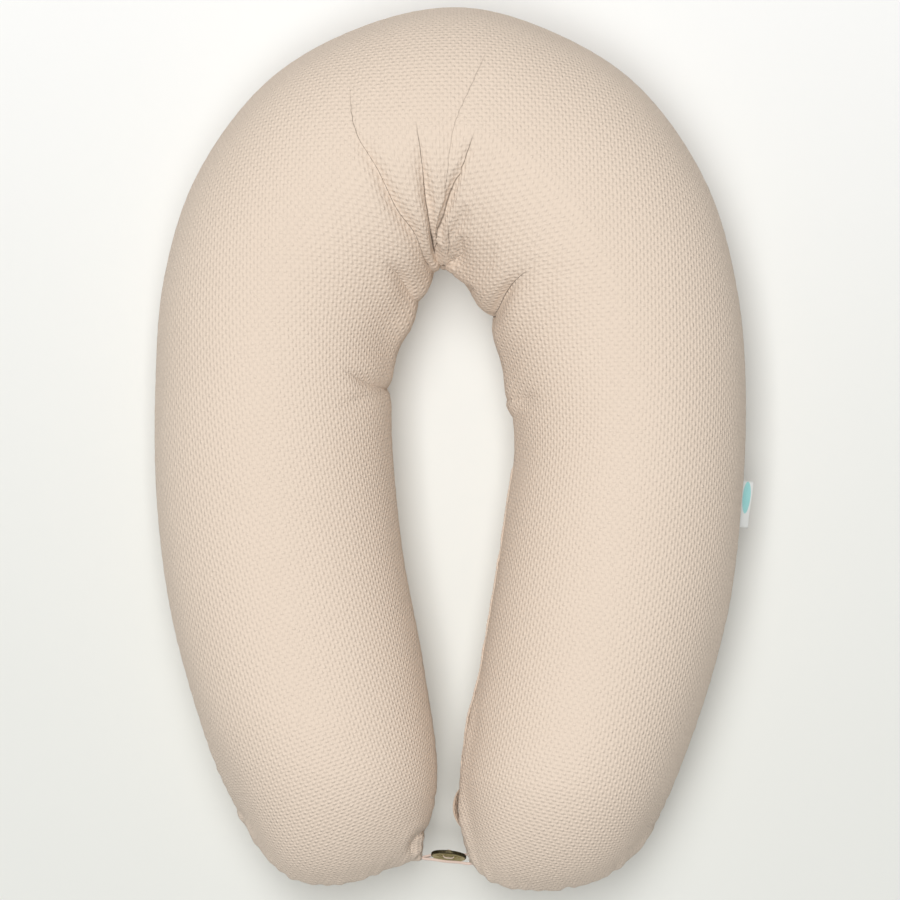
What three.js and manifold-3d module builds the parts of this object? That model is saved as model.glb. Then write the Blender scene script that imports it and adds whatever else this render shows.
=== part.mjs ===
// A U-shaped nursing pillow lying flat: a stuffed tube bent into a horseshoe, in a sewn knit cover.
// Millimetres, +Z up, +Y towards the closed crown, +X towards the leg that carries the zip.
import * as THREE from 'three';
import { mergeVertices } from 'three/addons/utils/BufferGeometryUtils.js';
import Module from 'manifold-3d';

const wasm = await Module();
wasm.setup();

// ---- driving sizes ----------------------------------------------------------------------------
const SEAM_HEIGHT = 86; // the side seam above the floor, along the legs and the crown
const END_SEAM_DROP = 12; // how much lower the seam lies at the two leg ends
const TOP_RISE = 102; // crest of the top panel above the seam
const BOTTOM_DROP = 100; // how far the bottom panel would hang if the floor did not flatten it
const END_TAPER = 1.5; // stations over which a leg rounds off at its end

const COVER_THICK = 3; // waffle knit
const CASING_INSET = 8; // the ticking lies this far inside the cover's outer face
const CASING_THICK = 1.2;
const FILL_INSET = 10.4;
const SEAM_GAP = 0.2; // each panel's edge stands this far from the seam's middle
const SPLIT_GAP = 0.4; // each half's face stands this far from the crown's middle section

// The side seam seen from above, as matching stations from the left end over the crown to the right.
const ZIP_OPEN_END = [58, -10];
const ZIP_CLOSED_END = [11, -290];
const ZIP_FIRST_STATION = 14;
const ZIP_LAST_STATION = 17;
const alongZip = (station) => {
  const share = (station - ZIP_FIRST_STATION) / (ZIP_LAST_STATION - ZIP_FIRST_STATION);
  return ZIP_OPEN_END.map((start, k) => start + share * (ZIP_CLOSED_END[k] - start));
};
const OUTER_SEAM = [
  [-182, -333], [-217, -258], [-247, -160], [-262, -55], [-264, 55], [-256, 155], [-226, 248],
  [-160, 334], [-70, 383], [10, 397], [85, 378], [165, 330], [228, 243], [258, 140], [265, 20],
  [255, -97], [232, -202], [198, -300], [176, -350],
];
const INNER_SEAM = [
  [-28, -368], [-12, -300], [-24, -195], [-44, -85], [-54, 40], [-50, 100], [-28, 142],
  [-12, 162], [-7, 167], [-3, 168], [3, 165], [20, 141], [38, 110], [55, 45], ZIP_OPEN_END,
  alongZip(15), alongZip(16), ZIP_CLOSED_END, [17, -372],
];
const LEFT_END_SEAM = [OUTER_SEAM[0], [-162, -369], [-140, -387], [-99, -391], [-55, -378], INNER_SEAM[0]];
const RIGHT_END_SEAM = [OUTER_SEAM[18], [150, -377], [122, -391], [85, -397], [42, -391], INNER_SEAM[18]];
const LAST_STATION = OUTER_SEAM.length - 1;
const CROWN_STATION = 9;

const curveThrough = (points) =>
  new THREE.CatmullRomCurve3(points.map(([x, y]) => new THREE.Vector3(x, y, 0)), false, 'centripetal');
const outerSeam = curveThrough(OUTER_SEAM);
const innerSeam = curveThrough(INNER_SEAM);
const leftEndSeam = curveThrough(LEFT_END_SEAM);
const rightEndSeam = curveThrough(RIGHT_END_SEAM);

// ---- materials --------------------------------------------------------------------------------
const surface = (color, roughness, metalness = 0) =>
  new THREE.MeshStandardMaterial({ color, roughness, metalness });
const materials = {
  knit: () => surface(0xe9d8c6, 0.95),
  ticking: () => surface(0xf4f1ea, 0.9),
  filling: () => surface(0xfafafa, 1),
  tape: () => surface(0xdecbb8, 0.9),
  teeth: () => surface(0xd9c7b5, 0.5),
  band: () => surface(0xe2cbbd, 0.9),
  brass: () => surface(0x7f6f3c, 0.45, 0.9),
  thread: () => surface(0xe8d9c8, 0.8),
  label: () => surface(0xf6f6f2, 0.6),
};

// ---- the pillow's skin as a lattice of stations and angles --------------------------------------
const ANGLES = [0, 8, 20, 38, 60, 90, 120, 142, 160, 172, 180];
const LEFT_ROWS = [0, 0.06, 0.2, 0.4, 0.7, 1.1, 1.5, 2, 3, 4, 5, 6, 6.5, 7, 7.5, 8, 8.5, CROWN_STATION];
const RIGHT_ROWS = LEFT_ROWS.map((row) => LAST_STATION - row).reverse();

function seamPoint(curve, station) {
  return curve.getPoint(station / LAST_STATION);
}

function innerSeamPoint(station) {
  if (station < ZIP_FIRST_STATION || station > ZIP_LAST_STATION) return seamPoint(innerSeam, station);
  return new THREE.Vector3(...alongZip(station), 0);
}

// One point of the skin, `inset` millimetres inside the outer face.
function skinPoint(station, angle, face, inset) {
  const outer = seamPoint(outerSeam, station);
  const inner = innerSeamPoint(station);
  const across = inner.clone().sub(outer).normalize();
  const turn = THREE.MathUtils.degToRad(angle);
  const share = (1 - Math.cos(turn)) / 2;
  outer.addScaledVector(across, inset);
  inner.addScaledVector(across, -inset);
  const point = outer.lerp(inner, share);

  const leftEnd = station < LAST_STATION / 2;
  const fromEnd = Math.min(1, (leftEnd ? station : LAST_STATION - station) / END_TAPER);
  if (fromEnd < 1) {
    const endStation = leftEnd ? 0 : LAST_STATION;
    const chord = seamPoint(outerSeam, endStation).lerp(seamPoint(innerSeam, endStation), share);
    const edge = (leftEnd ? leftEndSeam : rightEndSeam).getPoint(share);
    point.addScaledVector(edge.sub(chord), (1 - fromEnd) ** 2);
    point.y += inset * (1 - fromEnd);
  }
  if (station === CROWN_STATION) {
    point.x += face.half === 'left' ? -SPLIT_GAP : SPLIT_GAP;
  }

  const swell = Math.sqrt(1 - (1 - fromEnd) ** 2) * Math.sin(turn);
  const seamZ = SEAM_HEIGHT - END_SEAM_DROP * (1 - fromEnd) ** 2;
  point.z = face.side === 'top'
    ? seamZ + (TOP_RISE - inset) * swell + face.gap
    : Math.max(inset, seamZ - (BOTTOM_DROP - inset) * swell - face.gap);
  return point;
}

function skinGrid(rows, angles, face, inset) {
  return rows.map((row) => angles.map((angle) => skinPoint(row, angle, face, inset)));
}

// ---- closed bodies out of grids ------------------------------------------------------------------
const SMALLEST_AREA = 1e-6; // a thinner triangle has two corners in one place and is left out

// Every quad is cut along its a-c diagonal, so that the faces of nested skins stay parallel.
function addQuad(triangles, [a, b, c, d], reversed = false) {
  for (const [p, q, r] of [[a, b, c], [a, c, d]]) {
    const area = q.clone().sub(p).cross(r.clone().sub(p)).length();
    if (area > SMALLEST_AREA) triangles.push(reversed ? [p, r, q] : [p, q, r]);
  }
}

function addGrid(triangles, grid, reversed) {
  for (let i = 0; i < grid.length - 1; i += 1) {
    for (let j = 0; j < grid[i].length - 1; j += 1) {
      addQuad(triangles, [grid[i][j], grid[i + 1][j], grid[i + 1][j + 1], grid[i][j + 1]], reversed);
    }
  }
}

// The strip that joins one edge of an outer grid to the same edge of an inner one.
function addRim(triangles, outerEdge, innerEdge) {
  for (let k = 0; k < outerEdge.length - 1; k += 1) {
    addQuad(triangles, [outerEdge[k + 1], outerEdge[k], innerEdge[k], innerEdge[k + 1]]);
  }
}

function geometryOf(triangles) {
  const volume = triangles.reduce((sum, [a, b, c]) => sum + a.dot(b.clone().cross(c)), 0);
  const positions = [];
  for (const [a, b, c] of triangles) {
    for (const corner of volume < 0 ? [a, c, b] : [a, b, c]) positions.push(corner.x, corner.y, corner.z);
  }
  const geometry = new THREE.BufferGeometry();
  geometry.setAttribute('position', new THREE.Float32BufferAttribute(positions, 3));
  geometry.computeVertexNormals();
  return geometry;
}

// A sewn panel: a patch of the skin with a thickness and an edge all round.
function panelGeometry(rows, angles, face, outerInset, innerInset) {
  const outer = skinGrid(rows, angles, face, outerInset);
  const inner = skinGrid(rows, angles, face, innerInset);
  const lastRow = rows.length - 1;
  const lastColumn = angles.length - 1;
  const column = (grid, j) => grid.map((row) => row[j]);
  const triangles = [];
  addGrid(triangles, outer, false);
  addGrid(triangles, inner, true);
  addRim(triangles, outer[lastRow], inner[lastRow]);
  addRim(triangles, [...outer[0]].reverse(), [...inner[0]].reverse());
  addRim(triangles, column(outer, 0), column(inner, 0));
  addRim(triangles, column(outer, lastColumn).reverse(), column(inner, lastColumn).reverse());
  return geometryOf(triangles);
}

// Half of a pillow: both faces joined along the seams and round the leg's end, open at the crown.
function halfPillow(rows, half, inset) {
  const ordered = half === 'left' ? rows : [...rows].reverse();
  return ['top', 'bottom'].map((side) => skinGrid(ordered, ANGLES, { side, half, gap: 0 }, inset));
}

function casingGeometry(rows, half) {
  const [outerTop, outerBottom] = halfPillow(rows, half, CASING_INSET);
  const [innerTop, innerBottom] = halfPillow(rows, half, CASING_INSET + CASING_THICK);
  const last = rows.length - 1;
  const triangles = [];
  addGrid(triangles, outerTop, false);
  addGrid(triangles, outerBottom, true);
  addGrid(triangles, innerTop, true);
  addGrid(triangles, innerBottom, false);
  addRim(triangles, outerTop[last], innerTop[last]);
  addRim(triangles, [...outerBottom[last]].reverse(), [...innerBottom[last]].reverse());
  return geometryOf(triangles);
}

function fillGeometry(rows, half) {
  const [top, bottom] = halfPillow(rows, half, FILL_INSET);
  const last = rows.length - 1;
  const triangles = [];
  addGrid(triangles, top, false);
  addGrid(triangles, bottom, true);
  addRim(triangles, top[last], bottom[last]);
  return geometryOf(triangles);
}

// ---- joining and cutting ---------------------------------------------------------------------------
function solidOf(geometry, matrix = new THREE.Matrix4()) {
  const bare = geometry.clone().applyMatrix4(matrix);
  bare.deleteAttribute('normal');
  bare.deleteAttribute('uv');
  const merged = mergeVertices(bare, 1e-4);
  return new wasm.Manifold(new wasm.Mesh({
    numProp: 3,
    vertProperties: new Float32Array(merged.attributes.position.array),
    triVerts: new Uint32Array(merged.index.array),
  }));
}

function geometryFromSolid(solid) {
  const { vertProperties, triVerts } = solid.getMesh();
  const geometry = new THREE.BufferGeometry();
  geometry.setAttribute('position', new THREE.BufferAttribute(vertProperties, 3));
  geometry.setIndex(new THREE.BufferAttribute(triVerts, 1));
  geometry.computeVertexNormals();
  return geometry;
}

const pillow = new THREE.Group();

function addPart(name, geometry, material, parent = pillow) {
  const mesh = new THREE.Mesh(geometry, material);
  mesh.name = name;
  parent.add(mesh);
  return mesh;
}

const boxBetween = (low, high) =>
  new THREE.BoxGeometry(high[0] - low[0], high[1] - low[1], high[2] - low[2])
    .translate((low[0] + high[0]) / 2, (low[1] + high[1]) / 2, (low[2] + high[2]) / 2);

// ---- cover, casing and filling ----------------------------------------------------------------------
const zipRun = new THREE.Vector3(...ZIP_CLOSED_END, 0).sub(new THREE.Vector3(...ZIP_OPEN_END, 0));
const ZIP_LENGTH = zipRun.length();
const ZIP_SLOT = { margin: 2, halfHeight: 5.2, depth: 7 };

// The zip's own frame: X runs from its open end to its closed end, Y points into the leg.
const zip = new THREE.Group();
zip.position.set(...ZIP_OPEN_END, SEAM_HEIGHT);
zip.rotation.z = Math.atan2(zipRun.y, zipRun.x);
zip.updateMatrix();
pillow.add(zip);

function addCover(half, rows) {
  for (const side of ['top', 'bottom']) {
    const face = { side, half, gap: SEAM_GAP };
    let geometry = panelGeometry(rows, ANGLES, face, 0, COVER_THICK);
    if (half === 'right') {
      const slot = boxBetween(
        [ZIP_SLOT.margin, -ZIP_SLOT.depth, -ZIP_SLOT.halfHeight],
        [ZIP_LENGTH - ZIP_SLOT.margin, ZIP_SLOT.depth, ZIP_SLOT.halfHeight],
      );
      geometry = geometryFromSolid(solidOf(geometry).subtract(solidOf(slot, zip.matrix)));
    }
    addPart(`cover_${side}_${half}`, geometry, materials.knit());
  }
}

for (const [half, rows] of [['left', LEFT_ROWS], ['right', RIGHT_ROWS]]) {
  addCover(half, rows);
  addPart(`casing_${half}`, casingGeometry(rows, half), materials.ticking());
  addPart(`filling_${half}`, fillGeometry(rows, half), materials.filling());
}

// ---- the zip in the inner seam of the right leg --------------------------------------------------------
function extrudeAlongZip(profile, start, end) {
  const shape = new THREE.Shape(profile.map(([depth, height]) => new THREE.Vector2(depth, height)));
  const geometry = new THREE.ExtrudeGeometry(shape, { depth: end - start, bevelEnabled: false, steps: 1 });
  // The profile's depth and height become the zip frame's Y and Z, its extrusion becomes X.
  const turn = new THREE.Matrix4().makeBasis(
    new THREE.Vector3(0, 1, 0), new THREE.Vector3(0, 0, 1), new THREE.Vector3(1, 0, 0));
  return geometry.applyMatrix4(turn).translate(start, 0, 0);
}

// Depths into the leg are measured from the seam, heights from the zip's middle line.
const TAPE = { start: 4, end: ZIP_LENGTH - 4, front: 5.4, thick: 1, low: 0.6, high: 13, lean: 1.6 };
const tapeProfile = [
  [TAPE.front, TAPE.low], [TAPE.front + TAPE.thick, TAPE.low],
  [TAPE.front + TAPE.lean + TAPE.thick, TAPE.high], [TAPE.front + TAPE.lean, TAPE.high],
];
const TEETH = { start: 8, end: ZIP_LENGTH - 8, front: 2.8, back: 5, half: 3, gap: 0.2 };
const teethProfile = [
  [TEETH.front, TEETH.gap], [TEETH.back, TEETH.gap], [TEETH.back, TEETH.half], [TEETH.front, TEETH.half],
];
const CLOSED_STOP = { length: 2.5, away: 0.5, gap: 0.4 };
const OPEN_STOP = { length: 4.6, away: 0.4, half: 3.6 };
const closedStopProfile = [
  [TEETH.front, CLOSED_STOP.gap], [TEETH.back, CLOSED_STOP.gap],
  [TEETH.back, TEETH.half], [TEETH.front, TEETH.half],
];
const openStopProfile = [
  [TEETH.front, -OPEN_STOP.half], [TEETH.back, -OPEN_STOP.half],
  [TEETH.back, OPEN_STOP.half], [TEETH.front, OPEN_STOP.half],
];
const upright = (profile) => profile;
const mirrored = (profile) => profile.map(([depth, height]) => [depth, -height]).reverse();

for (const [side, shaped] of [['upper', upright], ['lower', mirrored]]) {
  const tape = extrudeAlongZip(shaped(tapeProfile), TAPE.start, TAPE.end);
  const teeth = extrudeAlongZip(shaped(teethProfile), TEETH.start, TEETH.end);
  const stopStart = TEETH.end + CLOSED_STOP.away;
  const closedStop = extrudeAlongZip(shaped(closedStopProfile), stopStart, stopStart + CLOSED_STOP.length);
  addPart(`zip_tape_${side}`, tape, materials.tape(), zip);
  addPart(`zip_teeth_${side}`, teeth, materials.teeth(), zip);
  addPart(`zip_closed_stop_${side}`, closedStop, materials.teeth(), zip);
}
const openStopEnd = TEETH.start - OPEN_STOP.away;
addPart('zip_open_stop', extrudeAlongZip(openStopProfile, openStopEnd - OPEN_STOP.length, openStopEnd),
  materials.teeth(), zip);

// The placket is a narrow fold of the cover that lies over the edge of the slot.
const PLACKET = { low: 5.6, high: 12.6, front: -0.9, thick: 1, lean: 0.5 };
const placketProfile = [
  [PLACKET.front, PLACKET.low], [PLACKET.front + PLACKET.thick, PLACKET.low],
  [PLACKET.front + PLACKET.lean + PLACKET.thick, PLACKET.high],
  [PLACKET.front + PLACKET.lean, PLACKET.high],
];
addPart('zip_placket', extrudeAlongZip(placketProfile, 0, ZIP_LENGTH), materials.knit(), zip);

// Slider: a front plate with two flanges that reach round the teeth, and a bail for the pull.
const SLIDER = {
  length: 11, rest: ZIP_LENGTH - 22, front: 0.4, plateBack: 2.4, flangeBack: 4.7, half: 4.6, flange: 1.2,
};
const BAIL = { half: 3, front: -2.1, halfWidth: 1.2, bar: 0.8, root: 0.2 };
const sliderProfile = [
  [SLIDER.front, -SLIDER.half], [SLIDER.flangeBack, -SLIDER.half],
  [SLIDER.flangeBack, -SLIDER.half + SLIDER.flange], [SLIDER.plateBack, -SLIDER.half + SLIDER.flange],
  [SLIDER.plateBack, SLIDER.half - SLIDER.flange], [SLIDER.flangeBack, SLIDER.half - SLIDER.flange],
  [SLIDER.flangeBack, SLIDER.half], [SLIDER.front, SLIDER.half],
];
const sliderMiddle = SLIDER.rest + SLIDER.length / 2;
const bailBlock = boxBetween(
  [sliderMiddle - BAIL.half, BAIL.front, -BAIL.halfWidth],
  [sliderMiddle + BAIL.half, SLIDER.front + BAIL.root, BAIL.halfWidth]);
const bailHole = boxBetween(
  [sliderMiddle - BAIL.half + BAIL.bar, BAIL.front + BAIL.bar, -2 * BAIL.halfWidth],
  [sliderMiddle + BAIL.half - BAIL.bar, SLIDER.front, 2 * BAIL.halfWidth]);
const sliderSolid = solidOf(extrudeAlongZip(sliderProfile, SLIDER.rest, SLIDER.rest + SLIDER.length))
  .add(solidOf(bailBlock).subtract(solidOf(bailHole)));
addPart('zip_slider', geometryFromSolid(sliderSolid), materials.brass(), zip);

// Pull: its end bar lies in the bail, the tab lies back over the teeth.
const PULL = { axis: -0.45, length: 15, half: 3, thick: 1, barEnd: 0.6, barStart: -0.5 };
const PULL_WINDOW = { half: 1.6, end: -3.8 };
function pullGeometry() {
  const tabMiddle = PULL.half - PULL.length;
  const outline = new THREE.Shape();
  outline.moveTo(PULL.barEnd, -PULL.half);
  outline.lineTo(PULL.barEnd, PULL.half);
  outline.lineTo(tabMiddle, PULL.half);
  outline.absarc(tabMiddle, 0, PULL.half, Math.PI / 2, (3 * Math.PI) / 2, false);
  outline.lineTo(PULL.barEnd, -PULL.half);
  const window = new THREE.Path();
  window.moveTo(PULL.barStart, -PULL_WINDOW.half);
  window.lineTo(PULL.barStart, PULL_WINDOW.half);
  window.lineTo(PULL_WINDOW.end, PULL_WINDOW.half);
  window.lineTo(PULL_WINDOW.end, -PULL_WINDOW.half);
  window.lineTo(PULL.barStart, -PULL_WINDOW.half);
  outline.holes.push(window);
  return new THREE.ExtrudeGeometry(outline, { depth: PULL.thick, bevelEnabled: false, curveSegments: 8 })
    .translate(0, 0, -PULL.thick / 2)
    .rotateX(Math.PI / 2);
}
const pull = addPart('zip_pull', pullGeometry(), materials.brass(), zip);
pull.position.set(sliderMiddle, PULL.axis, 0);

// ---- the closure between the leg ends ------------------------------------------------------------------
const END_SEAM_Z = SEAM_HEIGHT - END_SEAM_DROP;
const BUTTON = {
  middle: [-1.2, -366.2], lean: 72, yaw: -6,
  radius: 16, thick: 3.6, bevel: 1, rim: 2.4, dish: 1.1, dishSlope: 1, hole: 2.2, spacing: 4.7,
};
const closure = new THREE.Group();
closure.position.set(...BUTTON.middle, END_SEAM_Z);
closure.rotation.set(
  THREE.MathUtils.degToRad(BUTTON.lean), 0, THREE.MathUtils.degToRad(BUTTON.yaw), 'ZYX');
pillow.add(closure);

function roundBar(radius, length, sides = 12) {
  return new THREE.CylinderGeometry(radius, radius, length, sides).rotateX(Math.PI / 2);
}

function buttonGeometry() {
  const face = BUTTON.thick / 2;
  const rimInside = BUTTON.radius - BUTTON.rim;
  const outline = [
    [0, -face], [BUTTON.radius - BUTTON.bevel, -face], [BUTTON.radius, -face + BUTTON.bevel],
    [BUTTON.radius, face - BUTTON.bevel], [BUTTON.radius - BUTTON.bevel, face], [rimInside, face],
    [rimInside - BUTTON.dishSlope, face - BUTTON.dish], [0, face - BUTTON.dish],
  ].map(([r, z]) => new THREE.Vector2(r, z));
  const disc = new THREE.LatheGeometry(outline, 36).rotateX(Math.PI / 2);
  let solid = solidOf(disc);
  for (const side of [-1, 1]) {
    const hole = roundBar(BUTTON.hole, 2 * BUTTON.thick).translate(side * BUTTON.spacing, 0, 0);
    solid = solid.subtract(solidOf(hole));
  }
  return geometryFromSolid(solid);
}
addPart('button', buttonGeometry(), materials.brass(), closure);

// The sewing thread: two legs through the holes, a stitch across the dish and a wound shank behind.
const THREAD = { leg: 1.2, stitch: 0.7, clearance: 0.35, shank: 1.8, shankLength: 1.6, overlap: 0.4 };
function threadGeometry() {
  const dishFloor = BUTTON.thick / 2 - BUTTON.dish;
  const frontStitch = dishFloor + THREAD.clearance + THREAD.stitch;
  const backStitch = -BUTTON.thick / 2 - THREAD.clearance - THREAD.stitch;
  const reach = BUTTON.spacing + THREAD.leg;
  const bridge = (z) =>
    new THREE.BoxGeometry(2 * reach, 2 * THREAD.leg, 2 * THREAD.stitch).translate(0, 0, z);
  let solid = solidOf(bridge(frontStitch)).add(solidOf(bridge(backStitch)));
  for (const side of [-1, 1]) {
    const leg = roundBar(THREAD.leg, frontStitch - backStitch, 8);
    leg.translate(side * BUTTON.spacing, 0, (frontStitch + backStitch) / 2);
    solid = solid.add(solidOf(leg));
  }
  const shankLength = THREAD.shankLength + THREAD.overlap;
  const shank = roundBar(THREAD.shank, shankLength, 10);
  shank.translate(0, 0, backStitch - THREAD.stitch + THREAD.overlap - shankLength / 2);
  return geometryFromSolid(solid.add(solidOf(shank)));
}
addPart('button_thread', threadGeometry(), materials.thread(), closure);

// A round-edged band swept along points, used for the button's cord and for the loop.
function bandGeometry(points, radius, steps) {
  const section = new THREE.Shape();
  section.absarc(0, 0, radius, 0, 2 * Math.PI, false);
  const path = new THREE.CatmullRomCurve3(points.map(([x, y, z]) => new THREE.Vector3(x, y, z)));
  return new THREE.ExtrudeGeometry(section, {
    extrudePath: path, steps, bevelEnabled: false, curveSegments: 4,
  });
}

// The cord holds the button to the left leg's corner.
const CORD_RADIUS = 1.2;
const cordPoints = [
  [-27.3, -368.5, END_SEAM_Z], [-22.4, -365, END_SEAM_Z - 2.5], [-18.8, -362.2, END_SEAM_Z - 3.6],
  [-12, -361.1, END_SEAM_Z - 4.5], [-3.2, -361.5, END_SEAM_Z - 4.8], [1.5, -362, END_SEAM_Z - 4.8],
];
addPart('button_cord', bandGeometry(cordPoints, CORD_RADIUS, 16), materials.band());

// The loop comes out of the right leg's corner, passes before and behind the button and over the cord.
const LOOP_RADIUS = 1.3;
const loopPoints = [
  [16.1, -373.4, END_SEAM_Z - 0.5], [8, -372, END_SEAM_Z - 2], [-4, -370.8, END_SEAM_Z - 2],
  [-15, -369.2, END_SEAM_Z - 0.5], [-21.6, -366.6, END_SEAM_Z + 1.2], [-21.4, -362.4, END_SEAM_Z + 2.2],
  [-17, -359.8, END_SEAM_Z + 2.4], [-10, -359.1, END_SEAM_Z + 2], [-1, -359.5, END_SEAM_Z + 2],
  [6, -360.6, END_SEAM_Z + 2.2], [15.4, -363.4, END_SEAM_Z + 2.6],
];
addPart('button_loop', bandGeometry(loopPoints, LOOP_RADIUS, 36), materials.band());

// ---- labels --------------------------------------------------------------------------------------------
const LABEL = { width: 42, length: 14, thick: 0.9, droop: 55, station: 14.58, standOff: 1.6 };
const label = addPart('side_label',
  boxBetween([LABEL.standOff, -LABEL.width / 2, -LABEL.thick / 2],
    [LABEL.standOff + LABEL.length, LABEL.width / 2, LABEL.thick / 2]), materials.label());
const labelSeam = outerSeam.getTangent(LABEL.station / LAST_STATION);
label.position.copy(seamPoint(outerSeam, LABEL.station)).setZ(SEAM_HEIGHT);
const labelTurn = Math.atan2(-labelSeam.x, labelSeam.y) - Math.PI;
label.rotation.set(0, THREE.MathUtils.degToRad(LABEL.droop), labelTurn, 'ZYX');

// The care label hangs inside, between the cover and the ticking, below the zip's open end.
const CARE_LABEL = { rows: [14, 14.3], angles: [142, 160], outer: 4.4, inner: 5 };
addPart('care_label',
  panelGeometry(CARE_LABEL.rows, CARE_LABEL.angles, { side: 'bottom', half: 'right', gap: 0 },
    CARE_LABEL.outer, CARE_LABEL.inner), materials.label());

// ---- the frame: origin on the floor under the middle of the whole pillow --------------------------------
pillow.updateMatrixWorld(true);
const middle = new THREE.Box3().setFromObject(pillow, true).getCenter(new THREE.Vector3());
pillow.position.set(-middle.x, -middle.y, 0);
pillow.updateMatrixWorld(true);

export default pillow;
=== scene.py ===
"""Looks of a U-shaped nursing pillow in a waffle-knit cover, lying on a pale floor.

The scene is in metres. Outlines are in millimetres in the design's own frame, whose origin is the
middle of the cover, and place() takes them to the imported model's frame."""
import math

import bpy
import numpy as np
from mathutils import Matrix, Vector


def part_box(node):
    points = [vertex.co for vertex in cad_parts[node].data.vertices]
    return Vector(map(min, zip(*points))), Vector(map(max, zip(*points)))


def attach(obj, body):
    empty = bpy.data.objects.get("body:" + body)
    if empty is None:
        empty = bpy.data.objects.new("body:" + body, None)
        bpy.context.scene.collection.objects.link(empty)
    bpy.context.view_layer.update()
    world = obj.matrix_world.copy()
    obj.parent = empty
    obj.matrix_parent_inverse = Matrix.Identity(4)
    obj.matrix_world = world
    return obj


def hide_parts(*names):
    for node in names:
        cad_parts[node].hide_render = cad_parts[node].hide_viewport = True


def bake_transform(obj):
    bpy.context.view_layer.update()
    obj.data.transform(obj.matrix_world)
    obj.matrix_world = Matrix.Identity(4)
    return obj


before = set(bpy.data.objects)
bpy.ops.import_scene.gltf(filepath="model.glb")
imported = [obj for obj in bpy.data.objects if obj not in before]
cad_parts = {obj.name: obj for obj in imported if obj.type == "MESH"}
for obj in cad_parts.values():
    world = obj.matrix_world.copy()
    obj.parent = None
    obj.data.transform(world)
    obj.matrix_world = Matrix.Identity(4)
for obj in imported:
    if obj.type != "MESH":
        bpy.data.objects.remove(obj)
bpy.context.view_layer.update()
MM = 0.001

# ---- driving sizes, the same as the CAD model's; stations count the points along both seams
SEAM_HEIGHT = 86
END_SEAM_DROP = 12
TOP_RISE = 102
BOTTOM_DROP = 100
END_TAPER = 1.5
CROWN_STATION = 9
LAST_STATION = 18
ZIP_STATIONS = (14, 17)
ZIP_OPEN_END = (58, -10)
ZIP_CLOSED_END = (11, -290)
ZIP_RUN = np.subtract(ZIP_CLOSED_END, ZIP_OPEN_END).astype(float)
ZIP_LENGTH = float(np.linalg.norm(ZIP_RUN))
ZIP_ALONG = ZIP_RUN / ZIP_LENGTH
ZIP_INWARD = (-ZIP_ALONG[1], ZIP_ALONG[0])


def along_zip(station):
    share = (station - ZIP_STATIONS[0]) / (ZIP_STATIONS[1] - ZIP_STATIONS[0])
    return tuple(a + share * (b - a) for a, b in zip(ZIP_OPEN_END, ZIP_CLOSED_END))


OUTER_SEAM = [
    (-182, -333), (-217, -258), (-247, -160), (-262, -55), (-264, 55), (-256, 155), (-226, 248),
    (-160, 334), (-70, 383), (10, 397), (85, 378), (165, 330), (228, 243), (258, 140), (265, 20),
    (255, -97), (232, -202), (198, -300), (176, -350),
]
INNER_SEAM = [
    (-28, -368), (-12, -300), (-24, -195), (-44, -85), (-54, 40), (-50, 100), (-28, 142),
    (-12, 162), (-7, 167), (-3, 168), (3, 165), (20, 141), (38, 110), (55, 45), ZIP_OPEN_END,
    along_zip(15), along_zip(16), ZIP_CLOSED_END, (17, -372),
]
LEFT_END_SEAM = [OUTER_SEAM[0], (-162, -369), (-140, -387), (-99, -391), (-55, -378), INNER_SEAM[0]]
RIGHT_END_SEAM = [OUTER_SEAM[-1], (150, -377), (122, -391), (85, -397), (42, -391), INNER_SEAM[-1]]

# The design frame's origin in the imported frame, from the left cover panel's box.
cover_low, cover_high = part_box("cover_top_left")
ORIGIN = np.array([cover_low[0] - min(x for x, _ in OUTER_SEAM) * MM,
                   cover_high[1] - max(y for _, y in OUTER_SEAM) * MM, 0.0])


def place(points):
    """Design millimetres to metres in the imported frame."""
    return np.asarray(points, float) * MM + ORIGIN


# ---- curves
def curve_at(points, where):
    """A centripetal Catmull-Rom curve through points, at where, counted in points."""
    p = np.asarray(points, float)
    p = np.vstack([2 * p[0] - p[1], p, 2 * p[-1] - p[-2]])
    where = np.clip(np.asarray(where, float), 0, len(points) - 1)
    k = np.minimum(where.astype(int), len(points) - 2)
    t = (where - k)[:, None]
    p0, p1, p2, p3 = p[k], p[k + 1], p[k + 2], p[k + 3]
    a, b, c = (np.sqrt(np.linalg.norm(step, axis=1))[:, None] for step in (p1 - p0, p2 - p1, p3 - p2))
    m1 = ((p1 - p0) / a - (p2 - p0) / (a + b) + (p2 - p1) / b) * b
    m2 = ((p2 - p1) / b - (p3 - p1) / (b + c) + (p3 - p2) / c) * b
    return ((2 * t**3 - 3 * t**2 + 1) * p1 + (t**3 - 2 * t**2 + t) * m1
            + (3 * t**2 - 2 * t**3) * p2 + (t**3 - t**2) * m2)


def smooth(x):
    x = np.clip(x, 0, 1)
    return x * x * (3 - 2 * x)


def near(distance, reach):
    """1 at distance 0, fading to nothing at two or three times the reach."""
    return np.exp(-(distance / reach) ** 2)


def near_crown(rows, half, fade):
    """1 at the crown's middle, falling from half - fade to 0 at half stations from it."""
    return smooth((half - np.abs(rows - CROWN_STATION)) / fade)


def table_at(table, where):
    """Straight lines through a table of (place, value) pairs."""
    return np.interp(where, *zip(*table))


def unit(vectors):
    return vectors / np.maximum(np.linalg.norm(vectors, axis=-1, keepdims=True), 1e-9)


def run_of(line):
    """Length along a line up to each of its points."""
    return np.concatenate([[0], np.cumsum(np.linalg.norm(np.diff(line, axis=0), axis=1))])


def inner_seam_at(stations):
    point = curve_at(INNER_SEAM, stations)
    in_zip = (stations >= ZIP_STATIONS[0]) & (stations <= ZIP_STATIONS[1])
    point[in_zip] = np.transpose(along_zip(stations[in_zip]))
    return point


# ---- the pillow's skin
CELL = 5.5  # spacing of the skin's lattice before it is refined
END_ROWS, COLUMNS = 34, 60


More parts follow.
